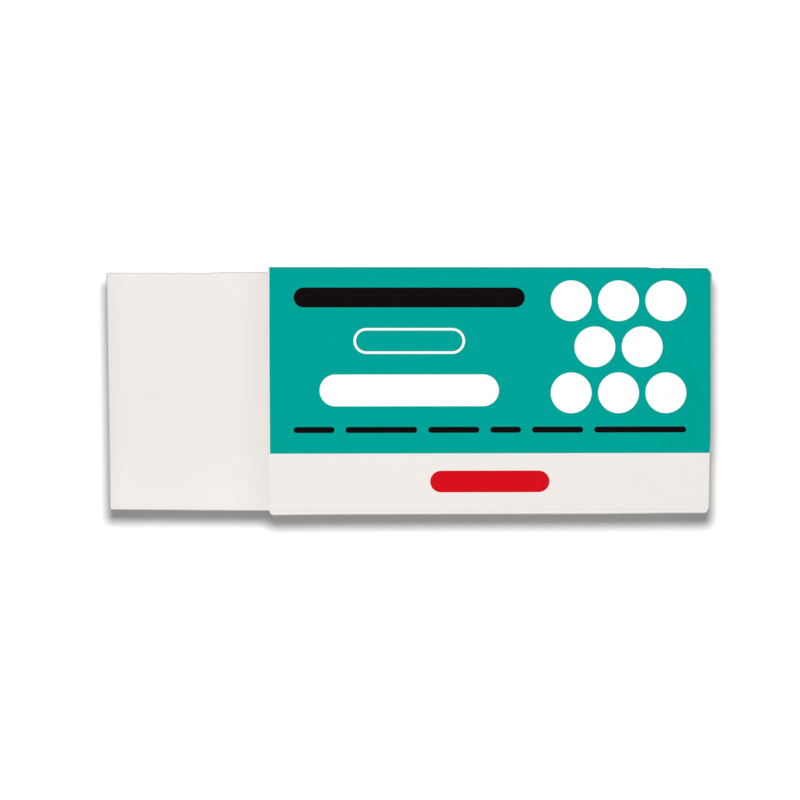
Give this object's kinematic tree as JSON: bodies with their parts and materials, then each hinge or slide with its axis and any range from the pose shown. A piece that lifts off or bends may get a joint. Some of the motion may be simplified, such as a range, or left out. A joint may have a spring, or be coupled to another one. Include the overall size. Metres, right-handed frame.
{
  "type": "block eraser in a sleeve",
  "caption": "White vinyl block eraser lying in a folded paperboard sleeve with a teal and white printed front, from which one end of the block stands out.",
  "frame": {"origin": "under the middle of the whole part, on the surface that it lies on", "axes": "+X along the block, from its bare end to its covered end; +Y across it, towards the edge of the front panel that is printed; +Z out of the printed front panel"},
  "size_m": [0.061, 0.025, 0.0132],
  "materials": {
    "vinyl": "matte",
    "sleeve_board": "satin",
    "teal_ink": "satin",
    "white_ink": "satin",
    "black_ink": "satin",
    "red_ink": "satin"
  },
  "bodies": {
    "sleeve": {"sleeve": "sleeve_board", "teal_print": "teal_ink", "white_print": "white_ink", "black_print": "black_ink", "red_print": "red_ink"},
    "block": {"eraser_block": "vinyl"}
  },
  "joints": [
    {"name": "block_slide", "type": "slide", "parent": "sleeve", "child": "block", "axis": [1, 0, 0], "range_m": [-0.0447, 0.0609]}
  ]
}
